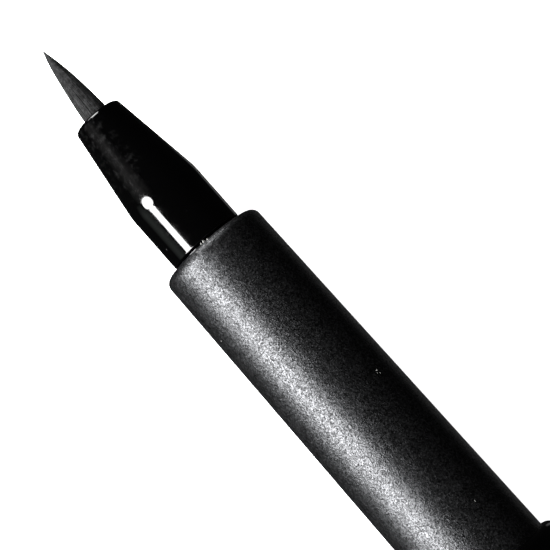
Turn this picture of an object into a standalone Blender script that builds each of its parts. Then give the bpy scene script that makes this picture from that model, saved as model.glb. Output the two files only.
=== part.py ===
"""Brush pen with its cap posted on the tail, as an assembly of turned and moulded pieces.

The pen is modelled about a local Z axis that runs from the crown to the brush tip, with z = 0 on the
barrel's front face. A parent empty lays that axis along world +X, with the origin on the crown's flat end.
Sizes are in metres.
"""
import math

import bmesh
import bpy

MM = 0.001

# Fits
STATIC_GAP = 0.05 * MM      # pressed or glued pieces, radially
SEAT_GAP = 0.10 * MM        # faces that seat on each other, along the axis
RUN_GAP = 0.08 * MM         # pieces that slide or turn in each other, radially
THREAD_GAP = 0.09 * MM      # between the flanks and crests of the section's thread

# Barrel
BARREL_FRONT_RADIUS = 5.33 * MM
BARREL_REAR_RADIUS = 5.76 * MM
BARREL_LENGTH = 68.6 * MM
BARREL_TAPER_LENGTH = 38.6 * MM
BARREL_WALL = 0.50 * MM
BARREL_LIP_THICKNESS = 0.90 * MM
BARREL_EDGE_RADIUS = 0.80 * MM
TAIL_FLANGE_THICKNESS = 0.9 * MM
TAIL_SPIGOT_LENGTH = 5.2 * MM
TAIL_PLUG_DEPTH = 4.0 * MM

# Front section
NECK_RADIUS = 3.75 * MM
NECK_STEP = 0.04 * MM       # the cone's base stands this proud of the neck
NECK_BEAD = 0.35 * MM       # length over which it does so
NECK_LENGTH = 6.32 * MM
CONE_LENGTH = 9.57 * MM
NOSE_END_RADIUS = 2.41 * MM
NOSE_EDGE_RADIUS = 0.50 * MM
SECTION_BORE_RADIUS = 2.50 * MM
TENON_LENGTH = 9.0 * MM
THREAD_STEP = 0.10 * MM     # the thread's crests stand this far inside the neck
THREAD_DEPTH = 0.36 * MM
THREAD_LEAD = 1.25 * MM
THREAD_TURNS = 3
THREAD_ROOT_WIDTH = 0.62 * MM
THREAD_CREST_WIDTH = 0.30 * MM
O_RING_THICKNESS = 0.76 * MM

# Brush
TUFT_RADIUS = 1.255 * MM
TUFT_LENGTH = 7.70 * MM
TUFT_PIVOT_DEPTH = 0.70 * MM
TUFT_BEND = math.radians(18.0)
TUFT_FULLNESS = 1.4         # how long the tuft stays thick before it tapers
TUFT_POINT = 0.8            # how blunt its point is, 1 being a straight taper
TUFT_ROOT_FLANGE = 0.645 * MM
TUFT_ROOT_LENGTH = 1.30 * MM
SLEEVE_LENGTH = 2.60 * MM
SLEEVE_BORE_RADIUS = 1.05 * MM

# Ink feed
WICK_RADIUS = 0.85 * MM
FEED_CORE_RADIUS = 1.50 * MM
FEED_FIN_COUNT = 10
FEED_FIN_THICKNESS = 0.50 * MM
SPIGOT_RADIUS = 1.60 * MM
SPIGOT_WALL = 0.60 * MM
SPIGOT_FLANGE_THICKNESS = 1.30 * MM
SPIGOT_REACH = 5.60 * MM

# Cartridge
CARTRIDGE_RADIUS = 2.95 * MM
CHAMBER_ROOM = 0.60 * MM    # between the cartridge and the liner's chamber
CARTRIDGE_LENGTH = 42.0 * MM
CARTRIDGE_WALL = 0.45 * MM
COLLAR_LENGTH = 3.0 * MM
SEAL_BALL_RADIUS = 1.80 * MM

# Cap
CAP_WALL = 0.91 * MM
CAP_EDGE_RADIUS = 0.80 * MM
CAP_END_WALL = 1.50 * MM
BARREL_EXPOSED_LENGTH = 38.6 * MM
INNER_CAP_WALL = 0.80 * MM
INNER_CAP_GRIP_LENGTH = 6.6 * MM
INNER_CAP_TIP_ROOM = 1.0 * MM
CROWN_LENGTH = 4.0 * MM
CROWN_EDGE_RADIUS = 1.2 * MM
SCREW_RADIUS = 1.20 * MM
SCREW_HEAD_RADIUS = 2.40 * MM
SCREW_HEAD_THICKNESS = 1.0 * MM
SCREW_CROWN_DEPTH = 2.4 * MM

# Clip
CLIP_THICKNESS = 0.60 * MM
CLIP_WIDTH = 3.2 * MM
CLIP_LENGTH = 38.0 * MM
CLIP_STAND_OFF = 1.50 * MM
CLIP_DIMPLE_LENGTH = 3.0 * MM
CLIP_DIMPLE_GAP = 0.30 * MM

# Facets
SIDES = 32
INNER_SIDES = 20
ARC_STEPS = 4

# Places along the axis, worked out from the sizes above
NOSE_FACE = NECK_LENGTH + CONE_LENGTH
TUFT_PIVOT = NOSE_FACE - TUFT_PIVOT_DEPTH
ROOT_FRONT = TUFT_PIVOT - TUFT_RADIUS - SEAT_GAP
ROOT_REAR = ROOT_FRONT - TUFT_ROOT_LENGTH
SLEEVE_FRONT = ROOT_REAR - SEAT_GAP
SLEEVE_REAR = SLEEVE_FRONT - SLEEVE_LENGTH
TENON_END = -TENON_LENGTH
SPIGOT_FLANGE_FRONT = TENON_END + SPIGOT_FLANGE_THICKNESS
SPIGOT_END = TENON_END - SPIGOT_REACH
FEED_FRONT = SLEEVE_REAR - SEAT_GAP
FEED_REAR = SPIGOT_FLANGE_FRONT + SEAT_GAP
O_RING_CENTRE = -BARREL_LIP_THICKNESS - 1.1 * MM
THREAD_START = TENON_END + 1.4 * MM
SHOULDER = TENON_END - SEAT_GAP
SHOULDER_THICKNESS = 0.8 * MM
CARTRIDGE_FRONT = TENON_END - 0.2 * MM
CARTRIDGE_REAR = CARTRIDGE_FRONT - CARTRIDGE_LENGTH
BALL_CENTRE = SPIGOT_END - SEAT_GAP - SEAL_BALL_RADIUS
BARREL_REAR = -BARREL_LENGTH
TAIL_FLANGE_REAR = BARREL_REAR - SEAT_GAP - TAIL_FLANGE_THICKNESS
TAIL_END = TAIL_FLANGE_REAR - TAIL_SPIGOT_LENGTH
CAP_MOUTH = -BARREL_EXPOSED_LENGTH
INNER_CAP_MOUTH = TAIL_FLANGE_REAR - 0.3 * MM
FRONT_LENGTH = NOSE_FACE + TUFT_LENGTH
INNER_CAP_FLOOR = INNER_CAP_MOUTH - FRONT_LENGTH - INNER_CAP_TIP_ROOM
INNER_CAP_REAR = INNER_CAP_FLOOR - INNER_CAP_WALL
SCREW_HEAD_REAR = INNER_CAP_REAR - SEAT_GAP - SCREW_HEAD_THICKNESS
CAP_INNER_END = SCREW_HEAD_REAR - SEAT_GAP
CAP_END = CAP_INNER_END - CAP_END_WALL
BAND_FRONT = CAP_END - SEAT_GAP
BAND_REAR = BAND_FRONT - CLIP_THICKNESS
CROWN_FRONT = BAND_REAR - SEAT_GAP
CROWN_END = CROWN_FRONT - CROWN_LENGTH

# Radii that follow from the sizes above
CONE_BASE_RADIUS = NECK_RADIUS + NECK_STEP
LIP_HOLE_RADIUS = CONE_BASE_RADIUS + RUN_GAP
THREAD_CREST_RADIUS = NECK_RADIUS - THREAD_STEP
THREAD_MINOR_RADIUS = THREAD_CREST_RADIUS - THREAD_DEPTH
TUFT_ROOT_RADIUS = TUFT_RADIUS + TUFT_ROOT_FLANGE
CHAMBER_RADIUS = CARTRIDGE_RADIUS + CHAMBER_ROOM
CAP_BORE_RADIUS = BARREL_REAR_RADIUS + RUN_GAP
CAP_RADIUS = CAP_BORE_RADIUS + CAP_WALL
GRIP_RADIUS = CONE_BASE_RADIUS + RUN_GAP
CLIP_INNER = CAP_RADIUS + CLIP_STAND_OFF
CLIP_OUTER = CLIP_INNER + CLIP_THICKNESS


def barrel_radius(z):
    """Outer radius of the barrel, which widens from its front face and then runs straight."""
    share = min(1.0, max(0.0, -z / BARREL_TAPER_LENGTH))
    return BARREL_FRONT_RADIUS + share * (BARREL_REAR_RADIUS - BARREL_FRONT_RADIUS)


def arc(centre, radius, start, end, steps=ARC_STEPS):
    """Points (r, z) on an arc about centre, from start to end in degrees, 0 pointing outwards."""
    angles = [math.radians(start + (end - start) * i / steps) for i in range(steps + 1)]
    return [(centre[0] + radius * math.cos(a), centre[1] + radius * math.sin(a)) for a in angles]


def finish(name, bm, material, parent):
    """Make a named object from a bmesh, with smooth shading and sharp edges past 35 degrees."""
    bmesh.ops.remove_doubles(bm, verts=bm.verts[:], dist=1e-7)
    bmesh.ops.recalc_face_normals(bm, faces=bm.faces[:])
    mesh = bpy.data.meshes.new(name)
    bm.to_mesh(mesh)
    bm.free()
    mesh.shade_smooth()
    mesh.set_sharp_from_angle(angle=math.radians(35))
    mesh.materials.append(material)
    obj = bpy.data.objects.new(name, mesh)
    bpy.context.collection.objects.link(obj)
    obj.parent = parent
    return obj


def turned(name, outline, material, parent, sides=SIDES, ring=True):
    """Spin an outline of (r, z) points about Z. A ring's closes on itself, a plug's ends on the axis."""
    bm = bmesh.new()
    verts = [bm.verts.new((r, 0.0, z)) for r, z in outline]
    pairs = list(zip(verts, verts[1:]))
    if ring:
        pairs.append((verts[-1], verts[0]))
    edges = [bm.edges.new(pair) for pair in pairs]
    bmesh.ops.spin(
        bm, geom=verts + edges, axis=(0, 0, 1), cent=(0, 0, 0), angle=math.tau, steps=sides, use_merge=True
    )
    return finish(name, bm, material, parent)


def helix(name, outline, turns, material, parent, sides=SIDES):
    """Sweep a closed outline of (r, z) points up a right-hand helix, as a thread's ridge or its cutter."""
    bm = bmesh.new()
    face = bm.faces.new([bm.verts.new((r, 0.0, z)) for r, z in outline])
    bmesh.ops.spin(
        bm, geom=[face], axis=(0, 0, 1), cent=(0, 0, 0), dvec=(0, 0, THREAD_LEAD / sides),
        angle=math.tau * turns, steps=round(sides * turns)
    )
    return finish(name, bm, material, parent)


def combine(obj, tool, operation):
    """Join a tool to a piece, or cut it out, with an exact Boolean; the tool itself stays hidden."""
    tool.hide_render = True
    tool.display_type = "WIRE"
    modifier = obj.modifiers.new(tool.name, "BOOLEAN")
    modifier.operation = operation
    modifier.solver = "EXACT"
    modifier.object = tool


def make_material(name, colour, roughness, metallic=0.0):
    material = bpy.data.materials.new(name)
    material.use_nodes = True
    shader = material.node_tree.nodes["Principled BSDF"]
    shader.inputs["Base Color"].default_value = (*colour, 1.0)
    shader.inputs["Roughness"].default_value = roughness
    shader.inputs["Metallic"].default_value = metallic
    material.diffuse_color = (*colour, 1.0)
    return material


def make_empty(name, parent, location=(0.0, 0.0, 0.0), rotation=(0.0, 0.0, 0.0)):
    empty = bpy.data.objects.new(name, None)
    bpy.context.collection.objects.link(empty)
    empty.parent = parent
    empty.location = location
    empty.rotation_euler = rotation
    return empty


def build_barrel_tube(pen):
    """Drawn aluminium tube: tapered outside, with a turned-in front lip that the neck passes through."""
    edge = BARREL_EDGE_RADIUS
    taper_end = -BARREL_TAPER_LENGTH
    lip_rear = -BARREL_LIP_THICKNESS
    outline = [(LIP_HOLE_RADIUS, lip_rear), (LIP_HOLE_RADIUS, 0.0)]
    outline += arc((BARREL_FRONT_RADIUS - edge, -edge), edge, 90, 0)
    outline += [(BARREL_REAR_RADIUS, taper_end), (BARREL_REAR_RADIUS, BARREL_REAR)]
    outline += [(BARREL_REAR_RADIUS - BARREL_WALL, BARREL_REAR)]
    outline += [(BARREL_REAR_RADIUS - BARREL_WALL, taper_end)]
    outline += [(barrel_radius(lip_rear) - BARREL_WALL, lip_rear)]
    material = make_material("charcoal_anodised", (0.035, 0.036, 0.038), 0.42, 0.85)
    turned("barrel_tube", outline, material, pen)


def thread_ridge(growth):
    """Outline of the thread's ridge at its start, larger by growth on its crest and flanks."""
    crest = THREAD_CREST_RADIUS + growth
    root = THREAD_MINOR_RADIUS - 0.20 * MM
    flank = (THREAD_ROOT_WIDTH - THREAD_CREST_WIDTH) / 2 / THREAD_DEPTH
    half_crest = THREAD_CREST_WIDTH / 2 + growth
    half_root = half_crest + flank * (crest - root)
    return [(root, THREAD_START - half_root), (crest, THREAD_START - half_crest),
            (crest, THREAD_START + half_crest), (root, THREAD_START + half_root)]


def build_barrel_liner(pen):
    """Moulded liner pressed into the tube: O-ring bore, section thread, stop shoulder, ink chamber."""
    front = -BARREL_LIP_THICKNESS - SEAT_GAP
    taper_end = -BARREL_TAPER_LENGTH
    rear = BARREL_REAR + SEAT_GAP
    skin = BARREL_WALL + STATIC_GAP
    thread_bore = THREAD_MINOR_RADIUS + THREAD_GAP
    ring_seat = O_RING_CENTRE - O_RING_THICKNESS / 2 - 0.35 * MM
    shoulder_bore = CARTRIDGE_RADIUS + RUN_GAP
    outline = [(barrel_radius(front) - skin, front), (BARREL_REAR_RADIUS - skin, taper_end)]
    outline += [(BARREL_REAR_RADIUS - skin, rear), (CHAMBER_RADIUS, rear)]
    outline += [(CHAMBER_RADIUS, SHOULDER - SHOULDER_THICKNESS - 0.6 * MM)]
    outline += [(shoulder_bore, SHOULDER - SHOULDER_THICKNESS), (shoulder_bore, SHOULDER)]
    outline += [(thread_bore, SHOULDER), (thread_bore, ring_seat - 0.4 * MM)]
    outline += [(LIP_HOLE_RADIUS, ring_seat), (LIP_HOLE_RADIUS, front)]
    liner = turned("barrel_liner", outline, make_material("liner_black", (0.02, 0.02, 0.022), 0.5), pen)
    groove = thread_ridge(THREAD_GAP)
    start = THREAD_START - THREAD_LEAD / 4
    travel = ring_seat - start
    groove = [(r, z - THREAD_LEAD / 4) for r, z in groove]
    cutter = helix("liner_thread_cutter", groove, travel / THREAD_LEAD + 0.5, liner.active_material, pen)
    cutter.rotation_euler = (0.0, 0.0, -math.tau / 4)
    combine(liner, cutter, "DIFFERENCE")


def build_nose_section(pen):
    """Gloss black moulding: cone and neck outside the barrel, O-ring groove and threaded tenon inside it."""
    material = make_material("gloss_black", (0.006, 0.006, 0.007), 0.08)
    groove = O_RING_THICKNESS / 2 + SEAT_GAP
    groove_radius = NECK_RADIUS - O_RING_THICKNESS - STATIC_GAP
    edge = NOSE_EDGE_RADIUS
    slope = math.degrees(math.atan2(CONE_BASE_RADIUS - NOSE_END_RADIUS, CONE_LENGTH))
    mouth = TUFT_RADIUS / math.cos(TUFT_BEND) + TUFT_PIVOT_DEPTH * math.tan(TUFT_BEND) + RUN_GAP
    small_bore = TUFT_RADIUS + RUN_GAP + 0.02 * MM
    root_bore = TUFT_ROOT_RADIUS + STATIC_GAP
    outline = [(mouth, NOSE_FACE)]
    outline += arc((NOSE_END_RADIUS - edge, NOSE_FACE - edge), edge, 90, slope)
    outline += [(CONE_BASE_RADIUS, NECK_LENGTH), (NECK_RADIUS, NECK_LENGTH - NECK_BEAD)]
    outline += [(NECK_RADIUS, O_RING_CENTRE + groove), (groove_radius, O_RING_CENTRE + groove)]
    outline += [(groove_radius, O_RING_CENTRE - groove), (THREAD_CREST_RADIUS, O_RING_CENTRE - groove)]
    outline += [(THREAD_MINOR_RADIUS, O_RING_CENTRE - groove - 0.5 * MM), (THREAD_MINOR_RADIUS, TENON_END)]
    outline += [(SECTION_BORE_RADIUS, TENON_END), (SECTION_BORE_RADIUS, SLEEVE_REAR)]
    outline += [(root_bore, SLEEVE_REAR), (root_bore, ROOT_FRONT + SEAT_GAP / 2)]
    outline += [(small_bore, ROOT_FRONT + SEAT_GAP / 2), (small_bore, TUFT_PIVOT)]
    section = turned("nose_section", outline, material, pen)
    ridge = helix("section_thread_ridge", thread_ridge(0.0), THREAD_TURNS, material, pen)
    combine(section, ridge, "UNION")


def build_o_ring(pen):
    """Rubber ring in the section's groove, which seals the neck and keeps the thread from working loose."""
    half = O_RING_THICKNESS / 2
    outline = arc((NECK_RADIUS - half, O_RING_CENTRE), half, 0, 315, 7)
    turned("section_o_ring", outline, make_material("ring_rubber", (0.015, 0.015, 0.015), 0.7), pen)


def build_brush(pen):
    """Bristle tuft with a round root about its bending point, the fused root behind it and its sleeve."""
    pivot = make_empty("tuft_pivot", pen, (0.0, 0.0, TUFT_PIVOT))
    length = TUFT_LENGTH + TUFT_PIVOT_DEPTH
    outline = arc((0.0, 0.0), TUFT_RADIUS, -90, 0, 5)
    for step in range(1, 9):
        share = step / 8
        outline.append((TUFT_RADIUS * (1.0 - share ** TUFT_FULLNESS) ** TUFT_POINT, length * share))
    outline[0] = (0.0, -TUFT_RADIUS)
    outline[-1] = (0.0, length)
    bristles = make_material("inked_bristle", (0.045, 0.045, 0.047), 0.75)
    turned("brush_tuft", outline, bristles, pivot, INNER_SIDES, ring=False)
    outer = TUFT_ROOT_RADIUS
    root = [(0.0, ROOT_FRONT), (outer, ROOT_FRONT), (outer, ROOT_REAR), (0.0, ROOT_REAR)]
    root_material = make_material("fused_bristle", (0.05, 0.04, 0.03), 0.6)
    turned("tuft_root", root, root_material, pen, INNER_SIDES, ring=False)
    sleeve = [(SLEEVE_BORE_RADIUS, SLEEVE_FRONT), (outer, SLEEVE_FRONT), (outer, SLEEVE_REAR),
              (SLEEVE_BORE_RADIUS, SLEEVE_REAR)]
    turned("tuft_sleeve", sleeve, make_material("sleeve_white", (0.7, 0.7, 0.68), 0.4), pen, INNER_SIDES)


def build_feed(pen):
    """Fibre wick, the finned collector round it, and the hollow spigot that the cartridge is pushed on."""
    wick = [(0.0, SLEEVE_FRONT - SEAT_GAP), (WICK_RADIUS, SLEEVE_FRONT - SEAT_GAP),
            (WICK_RADIUS, SPIGOT_END + 0.4 * MM), (0.0, SPIGOT_END + 0.4 * MM)]
    wick_material = make_material("wick_fibre", (0.03, 0.03, 0.035), 0.9)
    turned("ink_wick", wick, wick_material, pen, INNER_SIDES, ring=False)
    bore = WICK_RADIUS + STATIC_GAP + 0.03 * MM
    tip = SECTION_BORE_RADIUS - RUN_GAP
    pitch = (FEED_FRONT - FEED_REAR - FEED_FIN_THICKNESS) / (FEED_FIN_COUNT - 1)
    outline = []
    for fin in range(FEED_FIN_COUNT):
        low = FEED_REAR + fin * pitch
        high = low + FEED_FIN_THICKNESS
        outline += [(FEED_CORE_RADIUS, low), (tip, low), (tip, high), (FEED_CORE_RADIUS, high)]
    outline[0] = (bore, FEED_REAR)
    outline[-1] = (bore, FEED_FRONT)
    feed_material = make_material("feed_resin", (0.02, 0.02, 0.02), 0.35)
    turned("feed_collector", outline, feed_material, pen, INNER_SIDES)
    tube = [(bore, SPIGOT_FLANGE_FRONT), (tip, SPIGOT_FLANGE_FRONT), (tip, TENON_END + SEAT_GAP)]
    tube += [(SPIGOT_RADIUS, TENON_END + SEAT_GAP), (SPIGOT_RADIUS, SPIGOT_END + SPIGOT_WALL)]
    tube += [(bore + 0.1 * MM, SPIGOT_END), (bore, SPIGOT_END)]
    spigot_material = make_material("spigot_resin", (0.6, 0.6, 0.58), 0.35)
    turned("cartridge_spigot", tube, spigot_material, pen, INNER_SIDES)


def build_cartridge(pen):
    """Translucent ink cartridge: blown shell, the collar in its mouth, and the ball that sealed it."""
    inner = CARTRIDGE_RADIUS - CARTRIDGE_WALL
    shell = [(CARTRIDGE_RADIUS, CARTRIDGE_FRONT), (CARTRIDGE_RADIUS, CARTRIDGE_REAR + 1.0 * MM)]
    shell += [(CARTRIDGE_RADIUS - 1.0 * MM, CARTRIDGE_REAR), (0.0, CARTRIDGE_REAR)]
    shell += [(0.0, CARTRIDGE_REAR + CARTRIDGE_WALL), (inner - 0.8 * MM, CARTRIDGE_REAR + CARTRIDGE_WALL)]
    shell += [(inner, CARTRIDGE_REAR + CARTRIDGE_WALL + 0.8 * MM), (inner, CARTRIDGE_FRONT)]
    shell_material = make_material("cartridge_polythene", (0.35, 0.36, 0.38), 0.3)
    turned("cartridge_shell", shell, shell_material, pen, INNER_SIDES)
    outer = inner - STATIC_GAP - 0.03 * MM
    bore = SPIGOT_RADIUS + RUN_GAP
    rear = CARTRIDGE_FRONT - COLLAR_LENGTH
    collar = [(bore, CARTRIDGE_FRONT), (outer, CARTRIDGE_FRONT), (outer, rear), (bore, rear)]
    collar_material = make_material("collar_resin", (0.55, 0.56, 0.58), 0.4)
    turned("cartridge_collar", collar, collar_material, pen, INNER_SIDES)
    pivot = make_empty("seal_ball_centre", pen, (0.0, 0.0, BALL_CENTRE))
    ball = arc((0.0, 0.0), SEAL_BALL_RADIUS, -90, 90, 8)
    ball[0] = (0.0, -SEAL_BALL_RADIUS)
    ball[-1] = (0.0, SEAL_BALL_RADIUS)
    ball_material = make_material("ball_steel", (0.6, 0.6, 0.6), 0.2, 1.0)
    turned("seal_ball", ball, ball_material, pivot, INNER_SIDES, ring=False)


def build_tail_plug(pen):
    """Plug that closes the barrel, with the spigot that the inner cap grips when the cap is posted."""
    plug = CHAMBER_RADIUS - STATIC_GAP
    flange = BARREL_REAR_RADIUS - 0.25 * MM
    flange_front = BARREL_REAR - SEAT_GAP
    outline = [(0.0, BARREL_REAR + TAIL_PLUG_DEPTH), (plug - 0.4 * MM, BARREL_REAR + TAIL_PLUG_DEPTH)]
    outline += [(plug, BARREL_REAR + TAIL_PLUG_DEPTH - 0.4 * MM), (plug, flange_front)]
    outline += [(flange, flange_front), (flange, TAIL_FLANGE_REAR), (NECK_RADIUS, TAIL_FLANGE_REAR)]
    outline += [(NECK_RADIUS, TAIL_END + 0.8 * MM), (NECK_RADIUS - 0.8 * MM, TAIL_END), (0.0, TAIL_END)]
    material = make_material("tail_black", (0.012, 0.012, 0.013), 0.25)
    turned("tail_plug", outline, material, pen, ring=False)


def build_cap(pen):
    """Gloss black cap: moulded tube with a rounded lip, inner cap, and the crown on its screw."""
    edge = CAP_EDGE_RADIUS
    bore_edge = 0.10 * MM
    hole = SCREW_RADIUS + STATIC_GAP
    outline = [(CAP_BORE_RADIUS, CAP_MOUTH - bore_edge), (CAP_BORE_RADIUS + bore_edge, CAP_MOUTH)]
    outline += arc((CAP_RADIUS - edge, CAP_MOUTH - edge), edge, 90, 0)
    outline += [(CAP_RADIUS, CAP_END), (hole, CAP_END), (hole, CAP_INNER_END)]
    outline += [(CAP_BORE_RADIUS, CAP_INNER_END)]
    gloss = make_material("cap_gloss_black", (0.004, 0.004, 0.005), 0.06)
    turned("cap_tube", outline, gloss, pen)

    flange = CAP_BORE_RADIUS - STATIC_GAP
    grip_end = INNER_CAP_MOUTH - INNER_CAP_GRIP_LENGTH
    nose_bore = NOSE_END_RADIUS + 0.8 * MM
    wall = INNER_CAP_WALL
    cone_end = grip_end - CONE_LENGTH
    outline = [(GRIP_RADIUS + 0.15 * MM, INNER_CAP_MOUTH), (flange, INNER_CAP_MOUTH)]
    outline += [(flange, INNER_CAP_MOUTH - wall), (GRIP_RADIUS + wall, INNER_CAP_MOUTH - wall)]
    outline += [(GRIP_RADIUS + wall, grip_end), (nose_bore + wall, cone_end)]
    outline += [(nose_bore + wall, INNER_CAP_REAR + wall), (flange, INNER_CAP_REAR + wall)]
    outline += [(flange, INNER_CAP_REAR), (0.0, INNER_CAP_REAR), (0.0, INNER_CAP_FLOOR)]
    outline += [(nose_bore, INNER_CAP_FLOOR), (nose_bore, cone_end)]
    outline += [(GRIP_RADIUS, grip_end), (GRIP_RADIUS, INNER_CAP_MOUTH - 0.5 * MM)]
    turned("inner_cap", outline, make_material("inner_cap_white", (0.75, 0.76, 0.76), 0.35), pen)

    edge = CROWN_EDGE_RADIUS
    screw_end = CROWN_FRONT - SCREW_CROWN_DEPTH
    outline = [(0.0, screw_end - SEAT_GAP), (hole, screw_end - SEAT_GAP), (hole, CROWN_FRONT)]
    outline += [(CAP_RADIUS, CROWN_FRONT)]
    outline += arc((CAP_RADIUS - edge, CROWN_END + edge), edge, 0, -90)
    outline += [(0.0, CROWN_END)]
    turned("cap_crown", outline, gloss, pen, ring=False)

    head_front = INNER_CAP_REAR - SEAT_GAP
    outline = [(0.0, head_front), (SCREW_HEAD_RADIUS, head_front), (SCREW_HEAD_RADIUS, SCREW_HEAD_REAR)]
    outline += [(SCREW_RADIUS, SCREW_HEAD_REAR), (SCREW_RADIUS, screw_end), (0.0, screw_end)]
    screw_material = make_material("screw_steel", (0.55, 0.55, 0.56), 0.3, 1.0)
    turned("crown_screw", outline, screw_material, pen, INNER_SIDES, ring=False)


def build_clip(pen):
    """Spring-steel clip: the band clamped under the crown, and the arm that springs at its bend."""
    steel = make_material("clip_black_steel", (0.02, 0.02, 0.021), 0.22, 0.9)
    hole = SCREW_RADIUS + STATIC_GAP
    band = [(hole, BAND_FRONT), (CAP_RADIUS, BAND_FRONT), (CAP_RADIUS, BAND_REAR), (hole, BAND_REAR)]
    turned("clip_band", band, steel, pen)

    # The arm's corner reaches the surface that the cap lies on, so the clip stops the pen from rolling.
    half_width = CLIP_WIDTH / 2
    turn = math.atan2(half_width, CLIP_OUTER) + math.acos(CAP_RADIUS / math.hypot(CLIP_OUTER, half_width))
    plane = make_empty("clip_plane", pen, rotation=(0.0, 0.0, turn))
    half = CLIP_THICKNESS / 2
    pivot_radius = CAP_RADIUS + 0.15 * MM + half
    pivot_height = (BAND_FRONT + BAND_REAR) / 2
    pivot = make_empty("clip_pivot", plane, (pivot_radius, 0.0, pivot_height))
    reach = CLIP_OUTER - pivot_radius
    lift = CLIP_INNER - pivot_radius
    dimple = CLIP_LENGTH - CLIP_DIMPLE_LENGTH
    touch = CAP_RADIUS + CLIP_DIMPLE_GAP - pivot_radius
    outline = arc((0.0, 0.0), half, 270, 90, 4)
    outline += [(lift, half), (lift, dimple - 1.2 * MM), (touch, dimple), (touch, CLIP_LENGTH - 0.8 * MM)]
    outline += [(lift, CLIP_LENGTH), (reach, CLIP_LENGTH - 0.4 * MM)]
    outline += arc((reach - 2 * half, half), 2 * half, 0, -90, 3)
    bm = bmesh.new()
    face = bm.faces.new([bm.verts.new((x, -half_width, z)) for x, z in outline])
    sweep = bmesh.ops.extrude_face_region(bm, geom=[face])
    moved = [item for item in sweep["geom"] if isinstance(item, bmesh.types.BMVert)]
    bmesh.ops.translate(bm, verts=moved, vec=(0.0, CLIP_WIDTH, 0.0))
    finish("clip_arm", bm, steel, pivot)


def clear_scene():
    for obj in list(bpy.data.objects):
        bpy.data.objects.remove(obj, do_unlink=True)


def build_pen():
    clear_scene()
    pen = make_empty("pen_axis", None, (-CROWN_END, 0.0, 0.0), (0.0, math.tau / 4, 0.0))
    build_barrel_tube(pen)
    build_barrel_liner(pen)
    build_nose_section(pen)
    build_o_ring(pen)
    build_brush(pen)
    build_feed(pen)
    build_cartridge(pen)
    build_tail_plug(pen)
    build_cap(pen)
    build_clip(pen)


build_pen()
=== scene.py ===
"""Brush pen lying on its posted cap: the finished look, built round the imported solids."""
import math

import bmesh
import bpy
import numpy as np
from mathutils import Matrix, Vector


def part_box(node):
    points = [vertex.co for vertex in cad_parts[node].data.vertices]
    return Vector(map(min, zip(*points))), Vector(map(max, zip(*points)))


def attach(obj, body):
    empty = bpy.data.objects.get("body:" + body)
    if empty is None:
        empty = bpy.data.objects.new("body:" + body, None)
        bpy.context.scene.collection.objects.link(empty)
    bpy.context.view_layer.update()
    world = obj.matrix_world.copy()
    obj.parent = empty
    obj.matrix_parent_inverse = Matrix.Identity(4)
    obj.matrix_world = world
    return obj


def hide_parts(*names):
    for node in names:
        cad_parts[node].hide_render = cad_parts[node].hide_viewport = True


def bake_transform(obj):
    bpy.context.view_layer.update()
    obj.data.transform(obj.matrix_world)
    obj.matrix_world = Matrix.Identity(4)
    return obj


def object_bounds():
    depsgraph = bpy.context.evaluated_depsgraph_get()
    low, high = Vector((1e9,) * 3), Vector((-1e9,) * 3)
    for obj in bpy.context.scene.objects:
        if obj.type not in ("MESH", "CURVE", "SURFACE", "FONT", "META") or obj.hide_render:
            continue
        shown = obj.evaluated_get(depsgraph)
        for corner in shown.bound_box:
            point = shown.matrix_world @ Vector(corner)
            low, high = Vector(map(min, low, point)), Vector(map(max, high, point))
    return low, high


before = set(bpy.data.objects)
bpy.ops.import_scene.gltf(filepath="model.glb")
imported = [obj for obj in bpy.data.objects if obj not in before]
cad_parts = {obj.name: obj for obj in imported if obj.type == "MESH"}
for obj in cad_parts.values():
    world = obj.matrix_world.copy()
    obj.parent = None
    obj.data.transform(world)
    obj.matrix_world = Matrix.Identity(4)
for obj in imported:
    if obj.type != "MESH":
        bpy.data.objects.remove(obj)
cad_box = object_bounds()
MM = 0.001

# ---------------------------------------------------------------------------------------------------
# Barrel liner. A black moulded sleeve pressed into the barrel; it carries the thread for the section
# and the chamber for the cartridge. Only its front bore shows, when the section is unscrewed.


def add_node(tree, kind, values=(), **settings):
    """A shader node with its settings and its unlinked input values."""
    made = tree.nodes.new(kind)
    for key, value in settings.items():
        setattr(made, key, value)
    for key, value in dict(values).items():
        made.inputs[key].default_value = value
    return made


def start_finish(name, colour, roughness, metallic=0.0):
    """A material with its shader, and the object coordinates that its patterns are laid out on."""
    material = bpy.data.materials.new(name)
    material.use_nodes = True
    tree = material.node_tree
    shader = tree.nodes["Principled BSDF"]
    shader.inputs["Base Color"].default_value = (*colour, 1.0)
    shader.inputs["Roughness"].default_value = roughness
    shader.inputs["Metallic"].default_value = metallic
    place = add_node(tree, "ShaderNodeTexCoord").outputs["Object"]
    return material, tree, shader, place


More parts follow.
